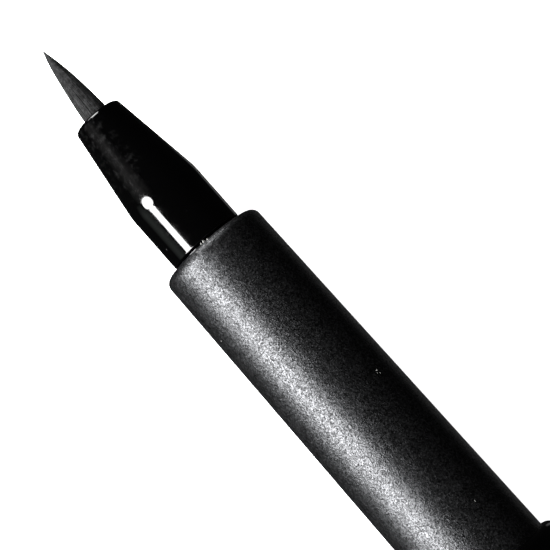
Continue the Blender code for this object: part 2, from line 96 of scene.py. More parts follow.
def moulded_resin(name, colour, roughness, grain=0.35 * MM, mottle=0.12):
    """Moulded plastic: faint flow mottling in the colour, and a fine skin texture from the mould."""
    material, tree, shader, place = start_finish(name, colour, roughness)
    skin = add_node(tree, "ShaderNodeTexNoise", {"Scale": 1.0 / grain, "Detail": 3.0, "Roughness": 0.6})
    flow = add_node(tree, "ShaderNodeTexNoise", {"Scale": 350.0, "Detail": 2.0, "Distortion": 0.6})
    tone = add_node(tree, "ShaderNodeMix", data_type="RGBA", blend_type="MIX")
    dark = [c * (1.0 - mottle) for c in colour]
    light = [min(1.0, c * (1.0 + mottle)) for c in colour]
    tone.inputs["A"].default_value = (*dark, 1.0)
    tone.inputs["B"].default_value = (*light, 1.0)
    gloss = add_node(
        tree, "ShaderNodeMapRange",
        {"From Min": 0.3, "From Max": 0.7, "To Min": roughness * 0.85, "To Max": roughness * 1.2}
    )
    bump = add_node(tree, "ShaderNodeBump", {"Strength": 0.25, "Distance": 0.01 * MM})
    for texture in (skin, flow):
        tree.links.new(place, texture.inputs["Vector"])
    tree.links.new(flow.outputs["Fac"], tone.inputs["Factor"])
    tree.links.new(tone.outputs["Result"], shader.inputs["Base Color"])
    tree.links.new(skin.outputs["Fac"], gloss.inputs["Value"])
    tree.links.new(gloss.outputs["Result"], shader.inputs["Roughness"])
    tree.links.new(skin.outputs["Fac"], bump.inputs["Height"])
    tree.links.new(bump.outputs["Normal"], shader.inputs["Normal"])
    return material


def refinish(node_name, material):
    """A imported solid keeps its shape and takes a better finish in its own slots."""
    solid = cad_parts[node_name]
    for index in range(max(1, len(solid.material_slots))):
        if index >= len(solid.material_slots):
            solid.data.materials.append(material)
        solid.material_slots[index].material = material


refinish("barrel_liner", moulded_resin("liner_resin", (0.018, 0.018, 0.02), 0.42))

# ---------------------------------------------------------------------------------------------------
# Barrel tube. Drawn aluminium, tapered towards the front, with its front edge turned in round the neck.
# It is bead-blasted, then anodised charcoal black, so it glitters with fine points of light.


def turned_piece(name, corners, sides=192, segments=6):
    """A turned piece: corners (x, radius, rounding) of its half section, spun about the pen's axis."""
    bm = bmesh.new()
    outline = []
    for index, (x, radius, rounding) in enumerate(corners):
        corner = Vector((x, 0.0, radius))
        supports = []
        beyond = corners[(index + 1) % len(corners)]
        for x_next, radius_next, rounding_next in (corners[index - 1], beyond):
            reach = Vector((x_next, 0.0, radius_next)) - corner
            roomy = reach.length > 1.1 * (rounding + rounding_next) + 0.1 * MM
            beside = corner + reach.normalized() * (rounding + 0.02 * MM)
            supports.append([(beside, 0.0)] if rounding > 0.0 and roomy else [])
        outline += supports[0] + [(corner, rounding)] + supports[1]
    points = [bm.verts.new(spot) for spot, _ in outline]
    bm.faces.new(points)
    for vert, (_, rounding) in zip(points, outline):
        if rounding > 0.0:
            bmesh.ops.bevel(
                bm, geom=[vert], offset=rounding, offset_type="OFFSET", affect="VERTICES",
                segments=segments, profile=0.5, material=-1
            )
    bmesh.ops.delete(bm, geom=bm.faces[:], context="FACES_ONLY")
    on_axis = [edge for edge in bm.edges if all(vert.co.z < 1e-7 for vert in edge.verts)]
    bmesh.ops.delete(bm, geom=on_axis, context="EDGES")
    bmesh.ops.spin(
        bm, geom=bm.verts[:] + bm.edges[:], axis=(1, 0, 0), cent=(0, 0, 0), angle=math.tau,
        steps=sides, use_merge=True
    )
    return close_piece(name, bm)


def close_piece(name, bm, sharp=math.radians(38)):
    """Turn a bmesh into a finished piece: doubles merged, faces outwards, smooth with sharp corners."""
    bmesh.ops.remove_doubles(bm, verts=bm.verts[:], dist=1e-7)
    bmesh.ops.recalc_face_normals(bm, faces=bm.faces[:])
    mesh = bpy.data.meshes.new(name)
    bm.to_mesh(mesh)
    bm.free()
    mesh.shade_smooth()
    mesh.set_sharp_from_angle(angle=sharp)
    piece = bpy.data.objects.new(name, mesh)
    bpy.context.collection.objects.link(piece)
    return piece


def fit_piece(piece, material, body, slot, *nodes):
    """Give a piece its finish and its body, and hide the solids it stands for; slot is not used."""
    piece.data.materials.append(material)
    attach(piece, body)
    if nodes:
        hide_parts(*nodes)


def blasted_anodised(name, colour):
    """Bead-blasted, anodised aluminium: tiny facets that each throw the light their own way."""
    material, tree, shader, place = start_finish(name, colour, 0.40, 1.0)
    pits = add_node(tree, "ShaderNodeTexNoise", {"Scale": 10500.0, "Detail": 2.5, "Roughness": 0.65})
    grains = add_node(tree, "ShaderNodeTexVoronoi", {"Scale": 8600.0, "Randomness": 1.0})
    heights = add_node(tree, "ShaderNodeMath", {1: 0.55}, operation="MULTIPLY")
    relief = add_node(tree, "ShaderNodeMath", operation="ADD")
    bump = add_node(tree, "ShaderNodeBump", {"Strength": 1.0, "Distance": 0.0235 * MM})
    split = add_node(tree, "ShaderNodeSeparateColor")
    tone = add_node(tree, "ShaderNodeMapRange", {"To Min": 0.35, "To Max": 2.1})
    tint = add_node(tree, "ShaderNodeMix", data_type="RGBA", blend_type="MULTIPLY")
    tint.inputs["Factor"].default_value = 1.0
    tint.inputs["A"].default_value = (*colour, 1.0)
    gloss = add_node(tree, "ShaderNodeMapRange", {"To Min": 0.30, "To Max": 0.52})
    for texture in (pits, grains):
        tree.links.new(place, texture.inputs["Vector"])
    tree.links.new(grains.outputs["Distance"], heights.inputs[0])
    tree.links.new(heights.outputs["Value"], relief.inputs[0])
    tree.links.new(pits.outputs["Fac"], relief.inputs[1])
    tree.links.new(relief.outputs["Value"], bump.inputs["Height"])
    tree.links.new(bump.outputs["Normal"], shader.inputs["Normal"])
    tree.links.new(grains.outputs["Color"], split.inputs["Color"])
    tree.links.new(split.outputs["Red"], tone.inputs["Value"])
    tree.links.new(tone.outputs["Result"], tint.inputs["B"])
    tree.links.new(tint.outputs["Result"], shader.inputs["Base Color"])
    tree.links.new(split.outputs["Green"], gloss.inputs["Value"])
    tree.links.new(gloss.outputs["Result"], shader.inputs["Roughness"])
    return material


tube_low, tube_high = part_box("barrel_tube")
barrel_front, barrel_rear = tube_high[0], tube_low[0]
barrel_radius = tube_high[2]
barrel_front_radius = 5.33 * MM
barrel_edge_rounding = 0.80 * MM
taper_length = 38.6 * MM
barrel_straight_from = barrel_front - taper_length
barrel_wall = 0.50 * MM
lip_thickness = 0.90 * MM
lip_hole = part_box("nose_section")[1][2] + 0.08 * MM
barrel_tube = turned_piece("barrel_shell", [
    (barrel_front, lip_hole, 0.12 * MM),
    (barrel_front, barrel_front_radius, barrel_edge_rounding),
    (barrel_straight_from, barrel_radius, 0.0),
    (barrel_rear, barrel_radius, 0.10 * MM),
    (barrel_rear, barrel_radius - barrel_wall, 0.10 * MM),
    (barrel_straight_from, barrel_radius - barrel_wall, 0.0),
    (barrel_front - lip_thickness, barrel_front_radius - barrel_wall, 0.20 * MM),
    (barrel_front - lip_thickness, lip_hole, 0.10 * MM),
])
fit_piece(barrel_tube, blasted_anodised("charcoal_anodised", (0.041, 0.0415, 0.043)), "barrel",
          "charcoal_anodised", "barrel_tube")

# ---------------------------------------------------------------------------------------------------
# Dust. A crumb caught on the barrel's front edge and a few pale flecks on its side, as on any pen that
# has been handled. They cling to the blasted surface.

rng = np.random.default_rng(11)
flecks = [
    (-0.02, -1.5, 0.19), (0.02, -5.5, 0.13), (-0.10, 3.0, 0.12),
    (-0.35, -13.0, 0.07), (-18.7, 43.5, 0.085), (-19.1, 44.5, 0.07),
    (-18.95, 42.0, 0.045), (-33.0, 28.0, 0.06), (-7.5, -64.0, 0.05)
]
bm = bmesh.new()
for along, turn, size in flecks:
    crumb = bmesh.ops.create_icosphere(bm, subdivisions=2, radius=size * MM)["verts"]
    for vert in crumb:
        vert.co *= 0.75 + 0.5 * rng.random()
        vert.co.y *= 0.7
    behind = min(0.0, along * MM)
    onto_edge = max(0.0, barrel_edge_rounding + along * MM)
    edge_drop = barrel_edge_rounding - math.sqrt(max(0.0, barrel_edge_rounding ** 2 - onto_edge ** 2))
    taper_rise = -behind / taper_length * (barrel_radius - barrel_front_radius)
    spot = Matrix.Rotation(math.radians(12.0 + turn), 3, "X") @ Vector(
        (0.0, 0.0, barrel_front_radius + taper_rise - edge_drop)
    )
    spot.x = barrel_front + along * MM
    bmesh.ops.translate(bm, verts=crumb, vec=spot)
dust = close_piece("barrel_dust", bm, math.radians(60))
dust_grain = moulded_resin("dust", (0.26, 0.255, 0.245), 0.8, 0.05 * MM, 0.3)
fit_piece(dust, dust_grain, "barrel", "charcoal_anodised")

# ---------------------------------------------------------------------------------------------------
# Tail plug. A black moulding pressed into the liner's rear; its spigot is what the posted cap grips.

plug_low, plug_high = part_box("tail_plug")
plug_radius, tail_spigot_radius = 3.50 * MM, 3.75 * MM
flange_radius = barrel_radius - 0.25 * MM
flange_front, flange_rear = barrel_rear - 0.1 * MM, barrel_rear - 1.0 * MM
centre_mark = plug_low[0] + 0.25 * MM
tail_plug = turned_piece("tail_end", [
    (plug_high[0], 0.0, 0.0),
    (plug_high[0], plug_radius, 0.40 * MM),
    (flange_front, plug_radius, 0.0),
    (flange_front, flange_radius, 0.08 * MM),
    (flange_rear, flange_radius, 0.35 * MM),
    (flange_rear, tail_spigot_radius, 0.15 * MM),
    (plug_low[0], tail_spigot_radius, 0.80 * MM),
    (plug_low[0], 0.70 * MM, 0.10 * MM),
    (centre_mark, 0.55 * MM, 0.05 * MM),
    (centre_mark, 0.0, 0.0),
])
tail_resin = moulded_resin("tail_resin", (0.010, 0.010, 0.011), 0.22)
fit_piece(tail_plug, tail_resin, "barrel", "tail_black", "tail_plug")

# ---------------------------------------------------------------------------------------------------
# Nose section. One polished black moulding: nose cone and neck outside, threaded tenon inside the
# barrel. It screws into the liner and holds the brush, the feed and the cartridge.


def painted_sheen(tree, place, sheen_starts_at, sheen_full_at, side):
    """Painted sheen: how much each spot is lightened, in cloudy patches that fade in towards the tip, on
    the one side turned towards the key light and the camera.
    """
    patches = add_node(tree, "ShaderNodeTexNoise", {"Scale": 1700.0, "Detail": 5.0, "Roughness": 0.75})
    patch = add_node(tree, "ShaderNodeMapRange", {"From Min": 0.52, "From Max": 0.72, "To Max": 0.27})
    split = add_node(tree, "ShaderNodeSeparateXYZ")
    forward_of = add_node(
        tree, "ShaderNodeMapRange", {"From Min": sheen_starts_at, "From Max": sheen_full_at}
    )
    flat = add_node(tree, "ShaderNodeVectorMath", {1: (0.0, 1.0, 1.0)}, operation="MULTIPLY")
    outward = add_node(tree, "ShaderNodeVectorMath", operation="NORMALIZE")
    facing = add_node(tree, "ShaderNodeVectorMath", {1: side}, operation="DOT_PRODUCT")
    turned_to = add_node(tree, "ShaderNodeMapRange", {"From Min": 0.70, "From Max": 0.98})
    here = add_node(tree, "ShaderNodeMath", operation="MULTIPLY")
    sheen_amount = add_node(tree, "ShaderNodeMath", operation="MULTIPLY")
    for vector in (patches.inputs["Vector"], split.inputs["Vector"], flat.inputs[0]):
        tree.links.new(place, vector)
    tree.links.new(patches.outputs["Fac"], patch.inputs["Value"])
    tree.links.new(split.outputs["X"], forward_of.inputs["Value"])
    tree.links.new(flat.outputs["Vector"], outward.inputs[0])
    tree.links.new(outward.outputs["Vector"], facing.inputs[0])
    tree.links.new(facing.outputs["Value"], turned_to.inputs["Value"])
    tree.links.new(forward_of.outputs["Result"], here.inputs[0])
    tree.links.new(turned_to.outputs["Result"], here.inputs[1])
    tree.links.new(here.outputs["Value"], sheen_amount.inputs[0])
    tree.links.new(patch.outputs["Result"], sheen_amount.inputs[1])
    return sheen_amount.outputs["Value"]


def polished_moulding(name, colour, roughness, painted_sheen_span=None):
    """Polished black plastic: mirror gloss, sink ripples, dust specks and, on one part, a painted sheen,
    a lighter tint standing in for a faint reflection.
    """
    material, tree, shader, place = start_finish(name, colour, roughness)
    shader.inputs["IOR"].default_value = 1.50
    sink = add_node(tree, "ShaderNodeTexNoise", {"Scale": 420.0, "Detail": 1.5, "Roughness": 0.5})
    specks = add_node(tree, "ShaderNodeTexVoronoi", {"Scale": 700.0, "Randomness": 1.0})
    speck_size = add_node(
        tree, "ShaderNodeMapRange", {"From Min": 0.03, "From Max": 0.07, "To Min": 1.0, "To Max": 0.0}
    )
    scuffs = add_node(tree, "ShaderNodeTexNoise", {"Scale": 1300.0, "Detail": 4.0, "Roughness": 0.7})
    gloss = add_node(
        tree, "ShaderNodeMapRange",
        {"From Min": 0.45, "From Max": 0.8, "To Min": roughness, "To Max": roughness + 0.10}
    )
    height = add_node(tree, "ShaderNodeMath", {1: 0.35}, operation="MULTIPLY")
    total = add_node(tree, "ShaderNodeMath", operation="ADD")
    bump = add_node(tree, "ShaderNodeBump", {"Strength": 0.35, "Distance": 0.012 * MM})
    tint = add_node(tree, "ShaderNodeMix", data_type="RGBA", blend_type="MIX")
    tint.inputs["A"].default_value = (*colour, 1.0)
    tint.inputs["B"].default_value = (0.04, 0.04, 0.04, 1.0)
    specks_and_sheen = speck_size.outputs["Result"]
    # Painted sheen: the specks' grey tint is also spread over part of the surface, standing in for a
    # faint reflection.
    if painted_sheen_span:
        either = add_node(tree, "ShaderNodeMath", operation="MAXIMUM")
        tree.links.new(speck_size.outputs["Result"], either.inputs[0])
        tree.links.new(painted_sheen(tree, place, *painted_sheen_span), either.inputs[1])
        specks_and_sheen = either.outputs["Value"]
    for texture in (sink, specks, scuffs):
        tree.links.new(place, texture.inputs["Vector"])
    tree.links.new(specks.outputs["Distance"], speck_size.inputs["Value"])
    tree.links.new(speck_size.outputs["Result"], height.inputs[0])
    tree.links.new(specks_and_sheen, tint.inputs["Factor"])
    tree.links.new(height.outputs["Value"], total.inputs[0])
    tree.links.new(sink.outputs["Fac"], total.inputs[1])
    tree.links.new(total.outputs["Value"], bump.inputs["Height"])
    tree.links.new(bump.outputs["Normal"], shader.inputs["Normal"])
    tree.links.new(tint.outputs["Result"], shader.inputs["Base Color"])
    tree.links.new(scuffs.outputs["Fac"], gloss.inputs["Value"])
    tree.links.new(gloss.outputs["Result"], shader.inputs["Roughness"])
    return material


nose_low, nose_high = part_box("nose_section")
nose_face, tenon_end = nose_high[0], nose_low[0]
cone_base_radius = nose_high[2]
neck_radius = cone_base_radius - 0.04 * MM
nose_end_radius = 2.44 * MM
nose_lip = nose_face - 0.13 * MM
nose_mouth_radius = 1.63 * MM
cone_base = barrel_front + 6.32 * MM
shadow_gap_radius = neck_radius - 0.30 * MM
ring_place = barrel_front - 2.0 * MM
ring_groove = 0.48 * MM
ring_groove_radius = neck_radius - 0.81 * MM
thread_crest = neck_radius - 0.10 * MM
thread_root = thread_crest - 0.36 * MM
pivot_depth = 0.70 * MM
tuft_pivot = nose_face - pivot_depth
tenon_bore, root_bore, tuft_bore = 2.50 * MM, 1.95 * MM, 1.355 * MM
root_step, tenon_step = tuft_pivot - 1.30 * MM, tuft_pivot - 5.35 * MM
# The nose cone's lighter patches towards the tip are a painted sheen, standing in for a faint
# reflection.
gloss_black = polished_moulding(
    "gloss_black", (0.0004, 0.0004, 0.00045), 0.055,
    painted_sheen_span=(cone_base + 0.8 * MM, cone_base + 3.5 * MM, (0.0, 0.31, 0.95))
)
nose_shell = turned_piece("nose_shell", [
    (nose_lip, nose_mouth_radius, 0.06 * MM),
    (nose_lip, nose_end_radius, 0.34 * MM),
    (cone_base - 0.10 * MM, cone_base_radius, 0.72 * MM),
    (cone_base - 1.08 * MM, neck_radius, 0.0),
    (barrel_front + 0.38 * MM, neck_radius, 0.10 * MM),
    (barrel_front + 0.24 * MM, shadow_gap_radius, 0.08 * MM),
    (barrel_front - 0.55 * MM, shadow_gap_radius, 0.08 * MM),
    (barrel_front - 0.69 * MM, neck_radius, 0.08 * MM),
    (ring_place + ring_groove, neck_radius, 0.05 * MM),
    (ring_place + ring_groove, ring_groove_radius, 0.05 * MM),
    (ring_place - ring_groove, ring_groove_radius, 0.05 * MM),
    (ring_place - ring_groove, thread_crest, 0.05 * MM),
    (ring_place - ring_groove - 0.5 * MM, thread_root, 0.05 * MM),
    (tenon_end, thread_root, 0.10 * MM),
    (tenon_end, tenon_bore, 0.05 * MM),
    (tenon_step, tenon_bore, 0.05 * MM),
    (tenon_step, root_bore, 0.05 * MM),
    (root_step, root_bore, 0.05 * MM),
    (root_step, tuft_bore, 0.05 * MM),
    (tuft_pivot, tuft_bore, 0.0),
])
fit_piece(nose_shell, gloss_black, "front_section", "gloss_black", "nose_section")

# ---------------------------------------------------------------------------------------------------
# Section thread. Three turns of moulded thread on the tenon, seen when the section is unscrewed.

thread_lead = 1.25 * MM
thread_turns = 3
thread_sides = 96
bm = bmesh.new()
ridge = [(-0.40, -0.15), (-0.15, 0.36), (0.15, 0.36), (0.40, -0.15)]
thread_start = tenon_end + 1.4 * MM
profile = bm.faces.new([
    bm.verts.new((thread_start + x * MM, 0.0, thread_root + height * MM)) for x, height in ridge
])
bmesh.ops.rotate(bm, verts=bm.verts[:], cent=(0, 0, 0), matrix=Matrix.Rotation(math.pi, 3, "X"))
bmesh.ops.spin(
    bm, geom=[profile], axis=(1, 0, 0), cent=(0, 0, 0), dvec=(thread_lead / thread_sides, 0, 0),
    angle=math.tau * thread_turns, steps=thread_sides * thread_turns
)
section_thread = close_piece("section_thread", bm)
fit_piece(section_thread, gloss_black, "front_section", "gloss_black")

# ---------------------------------------------------------------------------------------------------
# O-ring. Nitrile rubber, slipped into the groove behind the neck; it seals and steadies the section.

ring_half = 0.38 * MM
bm = bmesh.new()
bmesh.ops.create_circle(bm, cap_ends=False, radius=ring_half, segments=24)
bmesh.ops.rotate(bm, verts=bm.verts[:], cent=(0, 0, 0), matrix=Matrix.Rotation(math.pi / 2, 3, "X"))
bmesh.ops.translate(bm, verts=bm.verts[:], vec=(ring_place, 0.0, neck_radius - ring_half))
bmesh.ops.spin(
    bm, geom=bm.verts[:] + bm.edges[:], axis=(1, 0, 0), cent=(0, 0, 0), angle=math.tau,
    steps=128, use_merge=True
)
o_ring = close_piece("o_ring", bm)
nitrile = moulded_resin("nitrile_rubber", (0.012, 0.012, 0.012), 0.62, 0.12 * MM)
fit_piece(o_ring, nitrile, "section_carrier", "ring_rubber", "section_o_ring")

# ---------------------------------------------------------------------------------------------------
# Brush tuft. A thousand or so tapered nylon bristles, grey-black with dried ink, drawn to a fine point.
# It springs from the nose's mouth.

tuft_radius = 1.255 * MM
tuft_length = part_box("brush_tuft")[1][0] - nose_face
tuft_buried = 0.90 * MM


def tuft_outline(share):
    """Radius of the tuft at a share of its length from the nose's mouth to the tip."""
    along = (share * tuft_length + pivot_depth) / (tuft_length + pivot_depth)
    return tuft_radius * (1.0 - along ** 1.4) ** 0.8


def tuft_centre(share):
    """Middle of the tuft at a share of its length: it leans a little, as a used brush does."""
    lean = 0.095 * MM * min(1.0, 1.0 + share * tuft_length / tuft_buried) + 0.195 * MM * max(0.0, share)
    return Vector((nose_face + share * tuft_length, -0.98 * lean, -0.20 * lean))


def inked_bristle(name):
    """Dark nylon: streaks along each bristle, flecks of dried ink, a soft dull sheen."""
    material, tree, shader, place = start_finish(name, (0.02, 0.02, 0.02), 0.75)
    shader.inputs["Specular IOR Level"].default_value = 0.25
    along = add_node(tree, "ShaderNodeMapping")
    along.inputs["Scale"].default_value = (0.35, 1.0, 1.0)
    streaks = add_node(tree, "ShaderNodeTexNoise", {"Scale": 6500.0, "Detail": 3.0, "Roughness": 0.7})
    clots = add_node(tree, "ShaderNodeTexNoise", {"Scale": 2300.0, "Detail": 4.0, "Roughness": 0.75})
    fine = add_node(tree, "ShaderNodeMapRange", {"From Min": 0.3, "From Max": 0.7, "To Min": 0.45})
    blotch = add_node(tree, "ShaderNodeMapRange", {"From Min": 0.44, "From Max": 0.60, "To Min": 0.05})
    both = add_node(tree, "ShaderNodeMath", operation="MULTIPLY")
    tone = add_node(tree, "ShaderNodeMix", data_type="RGBA", blend_type="MIX")
    tone.inputs["A"].default_value = (0.0025, 0.0025, 0.0025, 1.0)
    tone.inputs["B"].default_value = (0.031, 0.031, 0.032, 1.0)
    bump = add_node(tree, "ShaderNodeBump", {"Strength": 0.8, "Distance": 0.03 * MM})
    tree.links.new(place, along.inputs["Vector"])
    tree.links.new(along.outputs["Vector"], streaks.inputs["Vector"])
    tree.links.new(place, clots.inputs["Vector"])
    tree.links.new(streaks.outputs["Fac"], fine.inputs["Value"])
    tree.links.new(clots.outputs["Fac"], blotch.inputs["Value"])
    tree.links.new(fine.outputs["Result"], both.inputs[0])
    tree.links.new(blotch.outputs["Result"], both.inputs[1])
    tree.links.new(both.outputs["Value"], tone.inputs["Factor"])
    tree.links.new(tone.outputs["Result"], shader.inputs["Base Color"])
    tree.links.new(both.outputs["Value"], bump.inputs["Height"])
    tree.links.new(bump.outputs["Normal"], shader.inputs["Normal"])
    return material


rng = np.random.default_rng(7)
bm = bmesh.new()
tag = bm.faces.layers.int.new("bristle")
core_rings = 24
core = bmesh.ops.create_circle(
    bm, cap_ends=True, radius=0.88 * tuft_radius, segments=40,
    matrix=Matrix.Translation((nose_face - tuft_buried, 0.0, 0.0)) @ Matrix.Rotation(math.pi / 2, 4, "Y")
)
end = core["verts"][0].link_faces[0]
for ring in range(core_rings + 1):
    share = 0.985 * ring / core_rings
    end = bmesh.ops.extrude_discrete_faces(bm, faces=[end])["faces"][0]
    middle = tuft_centre(share)
    for vert in end.verts:
        spoke = vert.co - end.calc_center_median()
        spoke.x = 0.0
        vert.co = middle + spoke
    size = (0.90 * tuft_outline(share)) / (end.verts[0].co - middle).length
    bmesh.ops.scale(bm, verts=end.verts[:], vec=(1.0, size, size), space=Matrix.Translation(-middle))
bristle_count = 1100
bristle_rings = 10
strands = []
ends = []
for index in range(bristle_count):
    angle = math.tau * rng.random()
    depth = math.sqrt(0.55 + 0.45 * rng.random())
    reach = 1.0 - 0.72 * max(0.0, 1.06 * rng.random() - 0.06) ** 1.5
    twist = 0.30 * (rng.random() - 0.5)
    thickness = (0.042 + 0.03 * rng.random()) * MM
    waver = (rng.random(3) - 0.5) * (0.05 * MM)
    strands.append((angle, depth, reach, twist, thickness, waver))
    root = tuft_centre(-tuft_buried / tuft_length)
    root += Vector((0.0, math.cos(angle), math.sin(angle))) * (depth * tuft_radius * 0.94)
    circle = bmesh.ops.create_circle(
        bm, cap_ends=True, radius=thickness, segments=5,
        matrix=Matrix.Translation(root) @ Matrix.Rotation(math.pi / 2, 4, "Y")
    )
    face = circle["verts"][0].link_faces[0]
    face[tag] = index
    ends.append(face)
for ring in range(1, bristle_rings + 1):
    shrink = 0.95 if ring < bristle_rings else 0.6
    ends = bmesh.ops.extrude_discrete_faces(bm, faces=ends)["faces"]
    for face in ends:
        angle, depth, reach, twist, thickness, waver = strands[face[tag]]
        share = reach * ring / bristle_rings
        radius = depth * max(0.03 * MM, tuft_outline(share) - 0.4 * thickness)
        radius += waver[0] * math.sin(5.0 * share + 60.0 * waver[1] / MM)
        turn = angle + twist * share
        target = tuft_centre(share) + Vector((0.0, math.cos(turn), math.sin(turn))) * max(0.0, radius)
        centre = face.calc_center_median()
        for vert in face.verts:
            vert.co = target + shrink * (vert.co - centre)
bmesh.ops.holes_fill(bm, edges=[edge for edge in bm.edges if edge.is_boundary], sides=0)
bristles = close_piece("bristle_tuft", bm, math.radians(80))
bristles.data.materials.append(inked_bristle("inked_bristle"))
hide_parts("brush_tuft")
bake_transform(bristles)

# ---------------------------------------------------------------------------------------------------
# Brush root and sleeve. The bristles' ends are fused into a plug, which the white sleeve holds
# against the step inside the nose.

root_low, root_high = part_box("tuft_root")
root_radius = root_high[2]
tuft_root = turned_piece("fused_root", [
    (root_high[0], 0.0, 0.0),
    (root_high[0], root_radius, 0.25 * MM),
    (root_low[0], root_radius, 0.40 * MM),
    (root_low[0], 0.0, 0.0),
], 96)
fused_bristle = moulded_resin("fused_bristle", (0.05, 0.042, 0.034), 0.5, 0.15 * MM, 0.4)
fit_piece(tuft_root, fused_bristle, "front_section", "fused_bristle", "tuft_root")
sleeve_low, sleeve_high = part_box("tuft_sleeve")
sleeve_bore = 1.05 * MM
tuft_sleeve = turned_piece("root_sleeve", [
    (sleeve_high[0], sleeve_bore, 0.10 * MM),
    (sleeve_high[0], root_radius, 0.10 * MM),
    (sleeve_low[0], root_radius, 0.20 * MM),
    (sleeve_low[0], sleeve_bore, 0.20 * MM),
], 96)
sleeve_resin = moulded_resin("sleeve_resin", (0.70, 0.70, 0.68), 0.38)
fit_piece(tuft_sleeve, sleeve_resin, "front_section", "sleeve_white", "tuft_sleeve")

# ---------------------------------------------------------------------------------------------------
# Feed. A bonded fibre wick in a finned black collector, and the natural resin spigot at its rear.

wick_low, wick_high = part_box("ink_wick")
wick = turned_piece("wick_rod", [
    (wick_high[0], 0.0, 0.0),
    (wick_high[0], wick_high[2], 0.15 * MM),
    (wick_low[0], wick_high[2], 0.15 * MM),
    (wick_low[0], 0.0, 0.0),
], 64)
wick_fibre = moulded_resin("wick_fibre", (0.025, 0.025, 0.03), 0.85, 0.08 * MM, 0.5)
fit_piece(wick, wick_fibre, "front_section", "wick_fibre", "ink_wick")
feed_low, feed_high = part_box("feed_collector")
feed_bore, feed_core, feed_fins, feed_fin = 0.93 * MM, 1.50 * MM, 10, 0.50 * MM
feed_pitch = (feed_high[0] - feed_low[0] - feed_fin) / (feed_fins - 1)
feed_outline = [(feed_high[0], feed_bore, 0.05 * MM)]
for fin in reversed(range(feed_fins)):
    fin_rear = feed_low[0] + fin * feed_pitch
    inner = feed_bore if fin == 0 else feed_core
    if fin < feed_fins - 1:
        feed_outline.append((fin_rear + feed_fin, feed_core, 0.05 * MM))
    feed_outline.append((fin_rear + feed_fin, feed_high[2], 0.08 * MM))
    feed_outline.append((fin_rear, feed_high[2], 0.08 * MM))
    feed_outline.append((fin_rear, inner, 0.05 * MM))
feed = turned_piece("feed_fins", feed_outline, 96, 3)
feed_resin = moulded_resin("feed_resin", (0.016, 0.016, 0.016), 0.32)
fit_piece(feed, feed_resin, "front_section", "feed_resin", "feed_collector")
spigot_low, spigot_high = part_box("cartridge_spigot")
spigot_flange, spigot_radius = tenon_end + 0.1 * MM, 1.60 * MM
spigot = turned_piece("spigot_tube", [
    (spigot_high[0], feed_bore, 0.05 * MM),
    (spigot_high[0], spigot_high[2], 0.10 * MM),
    (spigot_flange, spigot_high[2], 0.10 * MM),
    (spigot_flange, spigot_radius, 0.15 * MM),
    (spigot_low[0] + 0.6 * MM, spigot_radius, 0.25 * MM),
    (spigot_low[0], feed_bore + 0.12 * MM, 0.04 * MM),
    (spigot_low[0], feed_bore, 0.03 * MM),
], 96)
spigot_resin = moulded_resin("spigot_resin", (0.60, 0.60, 0.57), 0.33)
fit_piece(spigot, spigot_resin, "front_section", "spigot_resin", "cartridge_spigot")

# ---------------------------------------------------------------------------------------------------
# Cartridge. A blown polythene shell stained by its ink, the collar in its mouth, and the steel ball
# that sealed it until the spigot pushed it in.

shell_low, shell_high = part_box("cartridge_shell")
shell_radius, shell_wall = shell_high[2], 0.45 * MM
shell_base = shell_low[0] + 0.20 * MM
cartridge = turned_piece("cartridge_bottle", [
    (shell_high[0], shell_radius - shell_wall, 0.10 * MM),
    (shell_high[0], shell_radius, 0.15 * MM),
    (shell_low[0], shell_radius, 1.10 * MM),
    (shell_low[0], 1.20 * MM, 0.20 * MM),
    (shell_base, 0.90 * MM, 0.10 * MM),
    (shell_base, 0.0, 0.0),
    (shell_base + shell_wall, 0.0, 0.0),
    (shell_base + shell_wall, shell_radius - shell_wall, 0.80 * MM),
], 128)
polythene = moulded_resin("cartridge_polythene", (0.10, 0.10, 0.12), 0.30, 0.5 * MM, 0.35)
fit_piece(cartridge, polythene, "cartridge", "cartridge_polythene", "cartridge_shell")
collar_low, collar_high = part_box("cartridge_collar")
collar_bore = 1.68 * MM
collar = turned_piece("mouth_collar", [
    (collar_high[0], collar_bore, 0.20 * MM),
    (collar_high[0], collar_high[2], 0.10 * MM),
    (collar_low[0], collar_high[2], 0.15 * MM),
    (collar_low[0], collar_bore, 0.10 * MM),
], 96)
collar_resin = moulded_resin("collar_resin", (0.55, 0.56, 0.57), 0.36)
fit_piece(collar, collar_resin, "cartridge", "collar_resin", "cartridge_collar")


def brushed_steel(name, colour, roughness):
    """Plated steel: fine turning lines and a slightly uneven polish."""
    material, tree, shader, place = start_finish(name, colour, roughness, 1.0)
    lines = add_node(tree, "ShaderNodeTexNoise", {"Scale": 5000.0, "Detail": 3.0, "Roughness": 0.6})
    stretch = add_node(tree, "ShaderNodeMapping")
    stretch.inputs["Scale"].default_value = (1.0, 0.08, 0.08)
    gloss = add_node(tree, "ShaderNodeMapRange", {"To Min": roughness * 0.7, "To Max": roughness * 1.5})
    bump = add_node(tree, "ShaderNodeBump", {"Strength": 0.3, "Distance": 0.006 * MM})
    tree.links.new(place, stretch.inputs["Vector"])
    tree.links.new(stretch.outputs["Vector"], lines.inputs["Vector"])
    tree.links.new(lines.outputs["Fac"], gloss.inputs["Value"])
    tree.links.new(gloss.outputs["Result"], shader.inputs["Roughness"])
    tree.links.new(lines.outputs["Fac"], bump.inputs["Height"])
    tree.links.new(bump.outputs["Normal"], shader.inputs["Normal"])
    return material


ball_low, ball_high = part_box("seal_ball")
ball_middle = Matrix.Translation(((ball_low[0] + ball_high[0]) / 2, 0.0, 0.0))
bm = bmesh.new()
bmesh.ops.create_icosphere(bm, subdivisions=5, radius=ball_high[2], matrix=ball_middle)
ball = close_piece("ground_ball", bm)
ball_steel = brushed_steel("ball_steel", (0.62, 0.62, 0.61), 0.12)
fit_piece(ball, ball_steel, "ball", "ball_steel", "seal_ball")

# ---------------------------------------------------------------------------------------------------
# Inner cap. White polypropylene, pressed into the cap's bore; it seals the neck when the cap is on the
# front and grips the tail's spigot when the cap is posted.

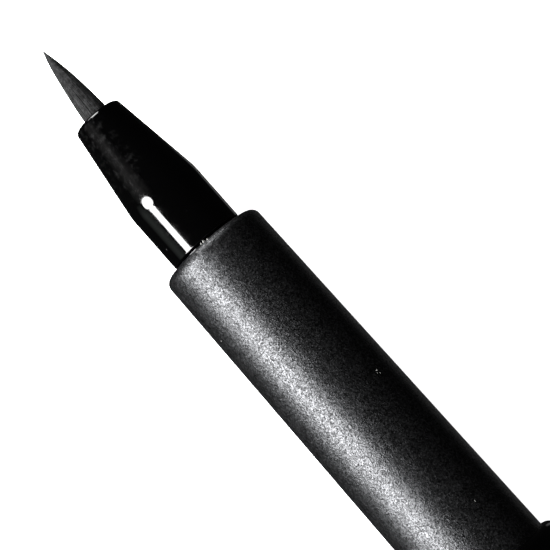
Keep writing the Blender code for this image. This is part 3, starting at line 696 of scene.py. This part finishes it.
inner_low, inner_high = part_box("inner_cap")
inner_flange, inner_wall = inner_high[2], 0.80 * MM
grip_radius, grip_end = 3.87 * MM, inner_high[0] - 6.6 * MM
point_bore, point_end = 3.21 * MM, inner_high[0] - 16.17 * MM
inner_cap = turned_piece("inner_cap_sleeve", [
    (inner_high[0], grip_radius, 0.30 * MM),
    (inner_high[0], inner_flange, 0.12 * MM),
    (inner_high[0] - inner_wall, inner_flange, 0.12 * MM),
    (inner_high[0] - inner_wall, grip_radius + inner_wall, 0.15 * MM),
    (grip_end, grip_radius + inner_wall, 0.80 * MM),
    (point_end, point_bore + inner_wall, 0.80 * MM),
    (inner_low[0] + inner_wall, point_bore + inner_wall, 0.15 * MM),
    (inner_low[0] + inner_wall, inner_flange, 0.12 * MM),
    (inner_low[0], inner_flange, 0.12 * MM),
    (inner_low[0], 0.0, 0.0),
    (inner_low[0] + inner_wall, 0.0, 0.0),
    (inner_low[0] + inner_wall, point_bore, 0.60 * MM),
    (point_end, point_bore, 0.80 * MM),
    (grip_end, grip_radius, 0.80 * MM),
])
inner_cap_resin = moulded_resin("inner_cap_resin", (0.74, 0.75, 0.75), 0.34)
fit_piece(inner_cap, inner_cap_resin, "cap", "inner_cap_white", "inner_cap")

# ---------------------------------------------------------------------------------------------------
# Cap tube. Deep black polished moulding with a rounded lip, which slides over the barrel.

cap_low, cap_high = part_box("cap_tube")
cap_mouth, cap_end = cap_high[0], cap_low[0]
cap_radius = cap_high[2]
cap_bore = barrel_radius + 0.08 * MM
cap_end_inside = cap_end + 1.5 * MM
screw_hole = 1.25 * MM
cap_gloss = polished_moulding("cap_gloss_black", (0.0004, 0.0004, 0.00045), 0.05)
cap_shell = turned_piece("cap_shell", [
    (cap_mouth, cap_bore, 0.10 * MM),
    (cap_mouth, cap_radius, 0.82 * MM),
    (cap_end, cap_radius, 0.10 * MM),
    (cap_end, screw_hole, 0.05 * MM),
    (cap_end_inside, screw_hole, 0.05 * MM),
    (cap_end_inside, cap_bore, 0.20 * MM),
])
fit_piece(cap_shell, cap_gloss, "cap", "cap_gloss_black", "cap_tube")

# ---------------------------------------------------------------------------------------------------
# Crown. The cap's polished end piece, drawn down onto the clip's band by a screw from inside.

crown_low, crown_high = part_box("cap_crown")
crown_hole_end = crown_high[0] - 2.5 * MM
crown = turned_piece("crown", [
    (crown_high[0], cap_radius, 0.10 * MM),
    (crown_low[0], cap_radius, 1.15 * MM),
    (crown_low[0], 0.0, 0.0),
    (crown_hole_end, 0.0, 0.0),
    (crown_hole_end, screw_hole, 0.05 * MM),
    (crown_high[0], screw_hole, 0.05 * MM),
])
fit_piece(crown, cap_gloss, "cap", "cap_gloss_black", "cap_crown")
screw_low, screw_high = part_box("crown_screw")
screw_face, screw_head_radius = screw_high[0], screw_high[2]
screw_radius, screw_groove_radius = 1.20 * MM, 1.03 * MM
screw_socket, screw_shoulder = screw_face - 0.55 * MM, screw_face - 1.0 * MM
screw_outline = [
    (screw_low[0], 0.0, 0.0),
    (screw_socket, 0.0, 0.0),
    (screw_socket, 0.80 * MM, 0.10 * MM),
    (screw_face, 1.05 * MM, 0.05 * MM),
    (screw_face, screw_head_radius, 0.30 * MM),
    (screw_shoulder, screw_head_radius, 0.10 * MM),
    (screw_shoulder, screw_radius, 0.05 * MM),
]
for turn in range(9):
    groove = crown_high[0] - (0.05 + 0.26 * turn) * MM
    screw_outline += [(groove, screw_radius, 0.0), (groove - 0.12 * MM, screw_groove_radius, 0.0)]
screw_outline.append((screw_low[0], screw_groove_radius, 0.0))
screw = turned_piece("cap_screw", screw_outline, 96, 3)
screw_steel = brushed_steel("screw_steel", (0.55, 0.55, 0.56), 0.28)
fit_piece(screw, screw_steel, "cap", "screw_steel", "crown_screw")

# ---------------------------------------------------------------------------------------------------
# Clip. One strip of black-lacquered spring steel: a band under the crown, a bend, and an arm whose end
# dips to the cap and turns up.

band_low, band_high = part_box("clip_band")
clip_steel = moulded_resin("clip_lacquer", (0.012, 0.012, 0.0125), 0.16, 0.25 * MM)
clip_band = turned_piece("clip_washer", [
    (band_high[0], screw_hole, 0.05 * MM),
    (band_high[0], cap_radius, 0.08 * MM),
    (band_low[0], cap_radius, 0.08 * MM),
    (band_low[0], screw_hole, 0.05 * MM),
])
fit_piece(clip_band, clip_steel, "cap", "clip_black_steel", "clip_band")
clip_middle = (band_low[0] + band_high[0]) / 2
clip_out = Vector((0.0, 0.78381, -0.62101))
clip_across = Vector((0.0, 0.62101, 0.78381))
clip_half_width, clip_edge_rounding = 1.60 * MM, 0.09 * MM
clip_line = [
    (-0.3, 5.6, 0.0), (-0.3, 8.85, 1.0), (33.9, 8.85, 0.9), (35.2, 7.65, 0.6),
    (36.7, 7.65, 0.5), (37.6, 8.33, 0.15), (37.96, 7.85, 0.15), (36.9, 7.05, 0.7),
    (34.97, 7.05, 0.7), (33.67, 8.25, 0.9), (0.3, 8.25, 0.4), (0.3, 5.6, 0.0)
]
bm = bmesh.new()
clip_side = clip_across * clip_half_width
spots = [
    bm.verts.new(Vector((clip_middle + along * MM, 0.0, 0.0)) + clip_out * (out * MM) - clip_side)
    for along, out, _ in clip_line
]
bm.faces.new(spots)
for spot, (_, _, rounding) in zip(spots, clip_line):
    if rounding > 0.0:
        bmesh.ops.bevel(
            bm, geom=[spot], offset=rounding * MM, offset_type="OFFSET", affect="VERTICES",
            segments=8, profile=0.5, material=-1
        )
moved = bmesh.ops.extrude_face_region(bm, geom=bm.faces[:], use_keep_orig=True)["geom"]
moved = [item for item in moved if isinstance(item, bmesh.types.BMVert)]
bmesh.ops.translate(bm, verts=moved, vec=2.0 * clip_side)
rims = [edge for face in bm.faces if len(face.verts) > 4 for edge in face.edges]
bmesh.ops.bevel(
    bm, geom=rims, offset=clip_edge_rounding, offset_type="OFFSET", affect="EDGES",
    segments=3, profile=0.5, material=-1
)
clip_strip = close_piece("clip_strip", bm)
clip_strip.data.materials.append(clip_steel)
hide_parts("clip_arm")
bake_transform(clip_strip)

# ---------------------------------------------------------------------------------------------------
# Studio. A plain pale floor with pale walls far off, softboxes to the left, in front and behind, a low
# card and a rim card, and a camera that looks down on the front of the pen.

floor_level = cad_box[0][2]
floor_reach = 1.5


def stage_sheet(name, bm, brightness):
    """A sheet of white paper, lit evenly from behind, which the pen neither mirrors nor shades."""
    mesh = bpy.data.meshes.new(name)
    bm.to_mesh(mesh)
    bm.free()
    sheet = bpy.data.objects.new(name, mesh)
    bpy.context.collection.objects.link(sheet)
    paper, _, paper_shader, _ = start_finish(name + "_paper", (0.86, 0.86, 0.86), 0.9)
    paper_shader.inputs["Emission Color"].default_value = (1.0, 1.0, 1.0, 1.0)
    paper_shader.inputs["Emission Strength"].default_value = brightness
    sheet.data.materials.append(paper)
    sheet.visible_glossy = False
    sheet.visible_diffuse = False
    sheet.visible_shadow = False


bm = bmesh.new()
bmesh.ops.create_grid(bm, x_segments=1, y_segments=1, size=floor_reach)
bmesh.ops.translate(bm, verts=bm.verts[:], vec=(0.0, 0.0, floor_level - 0.02 * MM))
walls = bm.copy()
bmesh.ops.delete(walls, geom=walls.faces[:], context="FACES_ONLY")
raised = bmesh.ops.extrude_edge_only(walls, edges=walls.edges[:])["geom"]
raised = [item for item in raised if isinstance(item, bmesh.types.BMVert)]
bmesh.ops.translate(walls, verts=raised, vec=(0.0, 0.0, floor_reach))
stage_sheet("floor", bm, 1.0)
stage_sheet("backdrop", walls, 0.72)

view_tilt = math.radians(5.406)
view_lean = math.radians(-12.0)
view_roll = math.radians(48.519)
view_distance = 218.18 * MM
front_in_view = (-5.945 * MM, 2.719 * MM)
along_pen = Vector((1.0, 0.0, 0.0))
across = Vector((0.0, -math.cos(view_lean), math.sin(view_lean)))
down = along_pen.cross(across)
forward = math.sin(view_tilt) * along_pen + math.cos(view_tilt) * down
axis_seen = math.cos(view_tilt) * along_pen - math.sin(view_tilt) * down
right = -math.cos(view_roll) * axis_seen + math.sin(view_roll) * across
up = math.sin(view_roll) * axis_seen + math.cos(view_roll) * across
camera_data = bpy.data.cameras.new("camera")
camera_data.sensor_width = 36.0
camera_data.lens = 157.09
camera_data.clip_start = 0.01
camera_data.clip_end = 5.0
camera = bpy.data.objects.new("camera", camera_data)
bpy.context.collection.objects.link(camera)
barrel_mouth = Vector((barrel_front, 0.0, 0.0))
stand = barrel_mouth - (front_in_view[0] * right + front_in_view[1] * up + view_distance * forward)
camera.matrix_world = Matrix.Translation(stand) @ Matrix((right, up, -forward)).transposed().to_4x4()
bpy.context.scene.camera = camera


def softbox(name, from_view, ahead, distance, middle, length, width, radiance, colour=(1.0, 1.0, 1.0)):
    """A light facing the pen: turned from the view about its axis, then swung ahead towards the tip."""
    from_view, ahead = math.radians(from_view), math.radians(ahead)
    round_axis = -math.cos(from_view) * down - math.sin(from_view) * across
    facing = math.cos(ahead) * round_axis + math.sin(ahead) * along_pen
    side = math.cos(ahead) * along_pen - math.sin(ahead) * round_axis
    data = bpy.data.lights.new(name, "AREA")
    data.shape = "RECTANGLE"
    data.size = length * MM
    data.size_y = width * MM
    data.energy = radiance * math.pi * data.size * data.size_y
    data.color = colour
    light = bpy.data.objects.new(name, data)
    bpy.context.collection.objects.link(light)
    turn = Matrix((side, facing.cross(side), facing)).transposed().to_4x4()
    spot = Vector((middle * MM, 0.0, 0.0)) + distance * MM * facing
    light.matrix_world = Matrix.Translation(spot) @ turn
    return light


key_box = softbox("key_box", 52.8, 0, 250, 76, 148, 132, 26.0)
key_end = softbox("key_end", 53, 13.3, 255, 109, 58, 150, 23.0)
low_card = softbox("low_card", 84, 0, 250, 95, 170, 150, 0.021, (0.88, 1.0, 0.94))
low_card.data.spread = math.radians(40)
softbox("rim_card", -150, 0, 250, 90, 160, 60, 0.22)
softbox("front_box", 34, 76, 200, 118, 80, 110, 4.5)
softbox("rim_box", 0, 66, 200, 112, 110, 90, 13.0)
softbox("rear_box_left", 58, -52, 300, 50, 120, 220, 3.0)
softbox("rear_box_right", -58, -52, 300, 50, 120, 220, 1.5)
for light in (key_box, key_end):
    light.data.shape = "ELLIPSE"

# A dim wall with a soft, uneven fall-off, which the nose cone mirrors as a faint haze.
bm = bmesh.new()
bmesh.ops.create_grid(bm, x_segments=1, y_segments=1, size=1.0)
wall_mesh = bpy.data.meshes.new("haze_wall")
bm.to_mesh(wall_mesh)
bm.free()
wall = bpy.data.objects.new("haze_wall", wall_mesh)
bpy.context.collection.objects.link(wall)
wall.matrix_world = (
    key_end.matrix_world @ Matrix.Translation((60 * MM, -6 * MM, 14 * MM))
    @ Matrix.Diagonal((62 * MM, 165 * MM, 1.0, 1.0))
)
haze, haze_tree, haze_shader, haze_place = start_finish("haze_glow", (0.0, 0.0, 0.0), 1.0)
haze_shader.inputs["Emission Color"].default_value = (1.0, 0.97, 0.96, 1.0)
fall_off = add_node(haze_tree, "ShaderNodeTexGradient", gradient_type="SPHERICAL")
patches = add_node(haze_tree, "ShaderNodeTexNoise", {"Scale": 3.2, "Detail": 4.0, "Roughness": 0.7})
patch_range = add_node(
    haze_tree, "ShaderNodeMapRange", {"From Min": 0.3, "From Max": 0.7, "To Min": 0.05, "To Max": 0.5}
)
glow = add_node(haze_tree, "ShaderNodeMath", operation="MULTIPLY")
haze_tree.links.new(haze_place, fall_off.inputs["Vector"])
haze_tree.links.new(haze_place, patches.inputs["Vector"])
haze_tree.links.new(patches.outputs["Fac"], patch_range.inputs["Value"])
haze_tree.links.new(fall_off.outputs["Fac"], glow.inputs[0])
haze_tree.links.new(patch_range.outputs["Result"], glow.inputs[1])
haze_tree.links.new(glow.outputs["Value"], haze_shader.inputs["Emission Strength"])
wall.data.materials.append(haze)
wall.visible_camera = False
wall.visible_shadow = False
wall.visible_diffuse = False

world = bpy.data.worlds.new("studio")
world.use_nodes = True
world.node_tree.nodes["Background"].inputs["Color"].default_value = (0.010, 0.010, 0.010, 1.0)
bpy.context.scene.world = world
bpy.context.scene.view_settings.view_transform = "Standard"
